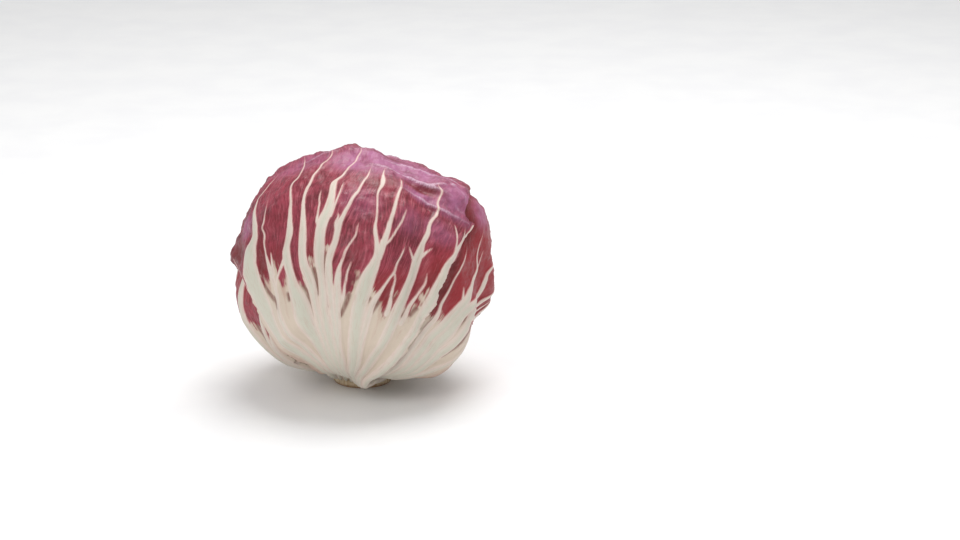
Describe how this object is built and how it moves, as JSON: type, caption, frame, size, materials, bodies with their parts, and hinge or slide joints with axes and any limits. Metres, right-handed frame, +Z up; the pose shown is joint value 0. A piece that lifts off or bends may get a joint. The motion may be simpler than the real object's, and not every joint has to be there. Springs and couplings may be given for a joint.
{
  "type": "radicchio head",
  "caption": "Whole round radicchio head: dark red wrapper leaves with fanned white ribs over a dense heart, standing on its cut stem.",
  "frame": {"origin": "under the middle of the head's box, on the plane of the stem's flat cut face", "axes": "+Z up along the stem, +X to the right and -Y towards the viewer who faces the front leaf"},
  "size_m": [0.1129, 0.106, 0.1043],
  "materials": {
    "stem": "dry cut stem butt, tan with browned edges",
    "heart_leaf": "satin dark red leaf",
    "inner_leaf": "satin dark red leaf with cream ribs",
    "outer_leaf": "satin wine red leaf with cream ribs",
    "front_leaf": "satin wine red leaf with a fan of cream ribs"
  },
  "bodies": {
    "root": {"stem": "stem", "heart": "heart_leaf", "leaf_inner_back_left": "inner_leaf", "leaf_inner_right": "inner_leaf", "leaf_inner_front_left": "inner_leaf", "leaf_back": "outer_leaf", "leaf_front_right": "outer_leaf", "leaf_left": "outer_leaf", "leaf_back_right": "outer_leaf", "leaf_front": "front_leaf"}
  },
  "joints": []
}
